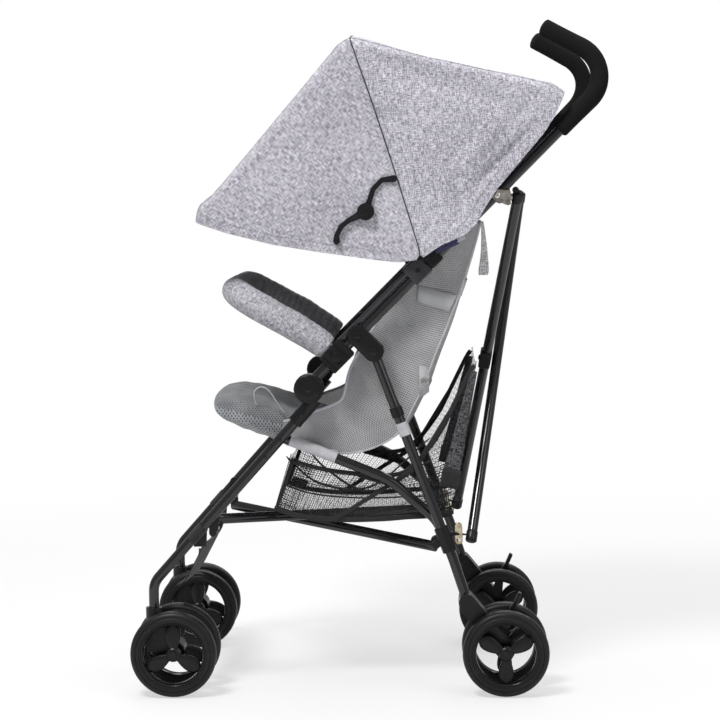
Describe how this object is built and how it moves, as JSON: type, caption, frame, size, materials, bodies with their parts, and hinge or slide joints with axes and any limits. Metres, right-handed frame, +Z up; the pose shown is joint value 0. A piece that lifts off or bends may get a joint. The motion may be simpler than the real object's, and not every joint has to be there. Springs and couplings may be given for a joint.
{
  "type": "umbrella stroller",
  "caption": "Folding umbrella stroller with paired wheels, hooked foam handles, a sling seat, padded bumper bar, two panel sun canopy and mesh basket",
  "frame": {"origin": "on the floor under the middle of the bounding box, stroller unfolded", "axes": "+Z up, -X the way the child faces and the stroller rolls forward, -Y the stroller's left side"},
  "size_m": [0.7462, 0.4448, 1.0447],
  "materials": {
    "frame_paint": "gloss",
    "black_plastic": "satin",
    "grip_foam": "matt foam",
    "wheel_black": "matt",
    "zinc_plate": "plated",
    "heather_cloth": "woven heather",
    "seat_mesh": "spacer mesh",
    "basket_net": "open net"
  },
  "bodies": {
    "left_frame": {"left_pusher_tube": "frame_paint", "left_grip": "grip_foam", "left_front_leg": "frame_paint", "left_hub": "black_plastic", "left_link_bracket": "black_plastic", "left_side_rail": "black_plastic", "left_bumper_mount": "black_plastic", "left_canopy_clamp": "black_plastic", "left_mid_bow": "black_plastic", "canopy_rear": "heather_cloth", "bumper_bar": "heather_cloth", "seat_base": "seat_mesh", "backrest": "seat_mesh", "calf_support": "basket_net"},
    "right_frame": {"right_pusher_tube": "frame_paint", "right_grip": "grip_foam", "right_front_leg": "frame_paint", "right_hub": "black_plastic", "right_link_bracket": "black_plastic", "right_side_rail": "black_plastic", "right_bumper_mount": "black_plastic", "right_canopy_clamp": "black_plastic", "right_mid_bow": "black_plastic"},
    "x_bar_a_body": {"x_bar_a": "frame_paint", "x_centre_bracket": "black_plastic"},
    "x_bar_b_body": {"x_bar_b": "frame_paint"},
    "canopy_front_body": {"left_front_bow": "black_plastic", "canopy_front": "heather_cloth"},
    "right_bow_body": {"right_front_bow": "black_plastic"},
    "basket_body": {"basket": "basket_net"},
    "left_rear_leg_body": {"left_rear_leg": "frame_paint", "left_leg_bracket": "black_plastic", "left_rear_housing": "black_plastic"},
    "left_seat_tube_body": {"left_seat_tube": "frame_paint"},
    "left_floor_bar_body": {"left_floor_bar": "frame_paint"},
    "left_top_bracket_body": {"left_top_bracket": "zinc_plate"},
    "left_caster_body": {"left_caster": "black_plastic"},
    "left_brake_body": {"left_brake_lever": "black_plastic"},
    "left_stay_upper_body": {"left_stay_upper": "black_plastic"},
    "left_stay_lower_body": {"left_stay_lower": "black_plastic"},
    "left_front_wheel_outer_body": {"left_front_wheel_outer": "wheel_black"},
    "left_rear_wheel_outer_body": {"left_rear_wheel_outer": "wheel_black"},
    "left_front_wheel_inner_body": {"left_front_wheel_inner": "wheel_black"},
    "left_rear_wheel_inner_body": {"left_rear_wheel_inner": "wheel_black"},
    "right_rear_leg_body": {"right_rear_leg": "frame_paint", "right_leg_bracket": "black_plastic", "right_rear_housing": "black_plastic"},
    "right_seat_tube_body": {"right_seat_tube": "frame_paint"},
    "right_floor_bar_body": {"right_floor_bar": "frame_paint"},
    "right_top_bracket_body": {"right_top_bracket": "zinc_plate"},
    "right_caster_body": {"right_caster": "black_plastic"},
    "right_brake_body": {"right_brake_lever": "black_plastic"},
    "right_stay_upper_body": {"right_stay_upper": "black_plastic"},
    "right_stay_lower_body": {"right_stay_lower": "black_plastic"},
    "right_front_wheel_outer_body": {"right_front_wheel_outer": "wheel_black"},
    "right_rear_wheel_outer_body": {"right_rear_wheel_outer": "wheel_black"},
    "right_front_wheel_inner_body": {"right_front_wheel_inner": "wheel_black"},
    "right_rear_wheel_inner_body": {"right_rear_wheel_inner": "wheel_black"}
  },
  "joints": [
    {"name": "fold", "type": "hinge", "parent": "left_frame", "child": "left_rear_leg_body", "pos_m": [0.0099, -0.1755, 0.5366], "axis": [0, 1, 0], "range_deg": [0, 40], "deforming": ["seat_base", "backrest", "calf_support", "bumper_bar", "canopy_front", "canopy_rear", "basket"]},
    {"name": "left_seat_tube_turn", "type": "hinge", "parent": "left_rear_leg_body", "child": "left_seat_tube_body", "pos_m": [0.119, -0.155, 0.243], "axis": [0, 1, 0], "range_deg": [0, 26.7]},
    {"name": "left_floor_bar_turn", "type": "hinge", "parent": "left_rear_leg_body", "child": "left_floor_bar_body", "pos_m": [0.105, -0.134, 0.232], "axis": [0.6139, 0.7815, 0.1111], "range_deg": [0, 69.2]},
    {"name": "left_caster_swivel", "type": "hinge", "parent": "left_frame", "child": "left_caster_body", "pos_m": [-0.339, -0.1755, 0.118], "axis": [0, 0, 1], "continuous": true},
    {"name": "left_front_wheel_outer_spin", "type": "hinge", "parent": "left_caster_body", "child": "left_front_wheel_outer_body", "pos_m": [-0.3054, -0.21, 0.0675], "axis": [0, 1, 0], "continuous": true},
    {"name": "left_rear_wheel_outer_spin", "type": "hinge", "parent": "left_rear_leg_body", "child": "left_rear_wheel_outer_body", "pos_m": [0.2124, -0.21, 0.0675], "axis": [0, 1, 0], "continuous": true},
    {"name": "left_front_wheel_inner_spin", "type": "hinge", "parent": "left_caster_body", "child": "left_front_wheel_inner_body", "pos_m": [-0.3054, -0.141, 0.0675], "axis": [0, 1, 0], "continuous": true},
    {"name": "left_rear_wheel_inner_spin", "type": "hinge", "parent": "left_rear_leg_body", "child": "left_rear_wheel_inner_body", "pos_m": [0.2124, -0.141, 0.0675], "axis": [0, 1, 0], "continuous": true},
    {"name": "left_brake_press", "type": "hinge", "parent": "left_rear_leg_body", "child": "left_brake_body", "pos_m": [0.2144, -0.1755, 0.1075], "axis": [0, 1, 0], "range_deg": [0, 20]},
    {"name": "canopy_fold", "type": "hinge", "parent": "left_frame", "child": "canopy_front_body", "pos_m": [0.09, -0.1939, 0.682], "axis": [0, 1, 0], "range_deg": [0, 54], "deforming": ["canopy_front"]},
    {"name": "left_stay_upper_turn", "type": "hinge", "parent": "left_frame", "child": "left_stay_upper_body", "pos_m": [0.045, -0.1983, 0.803], "axis": [0, 1, 0], "range_deg": [0, 132]},
    {"name": "left_stay_lower_turn", "type": "hinge", "parent": "canopy_front_body", "child": "left_stay_lower_body", "pos_m": [-0.045, -0.2016, 0.707], "axis": [0, 1, 0], "range_deg": [-92.3, 0]},
    {"name": "right_leg_fold", "type": "hinge", "parent": "right_frame", "child": "right_rear_leg_body", "pos_m": [0.0099, 0.1755, 0.5366], "axis": [0, 1, 0], "range_deg": [0, 40]},
    {"name": "right_seat_tube_turn", "type": "hinge", "parent": "right_rear_leg_body", "child": "right_seat_tube_body", "pos_m": [0.119, 0.155, 0.243], "axis": [0, 1, 0], "range_deg": [0, 26.7]},
    {"name": "right_floor_bar_turn", "type": "hinge", "parent": "right_rear_leg_body", "child": "right_floor_bar_body", "pos_m": [0.105, 0.134, 0.232], "axis": [-0.6139, 0.7815, -0.1111], "range_deg": [0, 69.2]},
    {"name": "right_caster_swivel", "type": "hinge", "parent": "right_frame", "child": "right_caster_body", "pos_m": [-0.339, 0.1755, 0.118], "axis": [0, 0, 1], "continuous": true},
    {"name": "right_front_wheel_outer_spin", "type": "hinge", "parent": "right_caster_body", "child": "right_front_wheel_outer_body", "pos_m": [-0.3054, 0.21, 0.0675], "axis": [0, 1, 0], "continuous": true},
    {"name": "right_rear_wheel_outer_spin", "type": "hinge", "parent": "right_rear_leg_body", "child": "right_rear_wheel_outer_body", "pos_m": [0.2124, 0.21, 0.0675], "axis": [0, 1, 0], "continuous": true},
    {"name": "right_front_wheel_inner_spin", "type": "hinge", "parent": "right_caster_body", "child": "right_front_wheel_inner_body", "pos_m": [-0.3054, 0.141, 0.0675], "axis": [0, 1, 0], "continuous": true},
    {"name": "right_rear_wheel_inner_spin", "type": "hinge", "parent": "right_rear_leg_body", "child": "right_rear_wheel_inner_body", "pos_m": [0.2124, 0.141, 0.0675], "axis": [0, 1, 0], "continuous": true},
    {"name": "right_brake_press", "type": "hinge", "parent": "right_rear_leg_body", "child": "right_brake_body", "pos_m": [0.2144, 0.1755, 0.1075], "axis": [0, 1, 0], "range_deg": [0, 20]},
    {"name": "right_canopy_fold", "type": "hinge", "parent": "right_frame", "child": "right_bow_body", "pos_m": [0.09, 0.1939, 0.682], "axis": [0, 1, 0], "range_deg": [0, 54]},
    {"name": "right_stay_upper_turn", "type": "hinge", "parent": "right_frame", "child": "right_stay_upper_body", "pos_m": [0.045, 0.1983, 0.803], "axis": [0, 1, 0], "range_deg": [0, 132]},
    {"name": "right_stay_lower_turn", "type": "hinge", "parent": "right_bow_body", "child": "right_stay_lower_body", "pos_m": [-0.045, 0.2016, 0.707], "axis": [0, 1, 0], "range_deg": [-92.3, 0]},
    {"name": "left_bracket_turn", "type": "hinge", "parent": "left_frame", "child": "left_top_bracket_body", "pos_m": [0.2017, -0.1755, 0.7764], "axis": [0, 1, 0], "range_deg": [0, 20]},
    {"name": "x_bar_a_swing", "type": "hinge", "parent": "left_top_bracket_body", "child": "x_bar_a_body", "pos_m": [0.23413, -0.163, 0.77204], "axis": [0.9853, 0, -0.1711], "range_deg": [-22.1, 0]},
    {"name": "x_scissor", "type": "hinge", "parent": "x_bar_a_body", "child": "x_bar_b_body", "pos_m": [0.1975, 0, 0.5085], "axis": [0.9853, 0, -0.1711], "range_deg": [0, 44.1]},
    {"name": "x_bar_b_swing", "type": "hinge", "parent": "x_bar_b_body", "child": "right_top_bracket_body", "pos_m": [0.25187, 0.163, 0.76896], "axis": [0.9853, 0, -0.1711], "range_deg": [-22.1, 0]},
    {"name": "right_bracket_turn", "type": "hinge", "parent": "right_top_bracket_body", "child": "right_frame", "pos_m": [0.2017, 0.1755, 0.7764], "axis": [0, 1, 0], "range_deg": [-20, 0]},
    {"name": "basket_swing", "type": "hinge", "parent": "left_frame", "child": "basket_body", "pos_m": [0.0099, 0, 0.5366], "axis": [0, 1, 0], "range_deg": [0, 20]}
  ],
  "couplings": [
    {"joint": "left_seat_tube_turn", "follows": "fold", "ratio": 0.6667},
    {"joint": "left_floor_bar_turn", "follows": "fold", "ratio": 1.727},
    {"joint": "left_stay_upper_turn", "follows": "canopy_fold", "ratio": 2.4426},
    {"joint": "left_stay_lower_turn", "follows": "canopy_fold", "ratio": -1.7074},
    {"joint": "right_leg_fold", "follows": "fold", "ratio": 1},
    {"joint": "right_seat_tube_turn", "follows": "fold", "ratio": 0.6667},
    {"joint": "right_floor_bar_turn", "follows": "fold", "ratio": 1.727},
    {"joint": "right_canopy_fold", "follows": "canopy_fold", "ratio": 1},
    {"joint": "right_stay_upper_turn", "follows": "canopy_fold", "ratio": 2.4426},
    {"joint": "right_stay_lower_turn", "follows": "canopy_fold", "ratio": -1.7074},
    {"joint": "left_bracket_turn", "follows": "fold", "ratio": 0.4974},
    {"joint": "x_bar_a_swing", "follows": "fold", "ratio": -0.551},
    {"joint": "x_scissor", "follows": "fold", "ratio": 1.102},
    {"joint": "x_bar_b_swing", "follows": "fold", "ratio": -0.551},
    {"joint": "right_bracket_turn", "follows": "fold", "ratio": -0.4974},
    {"joint": "basket_swing", "follows": "fold", "ratio": 0.5}
  ]
}
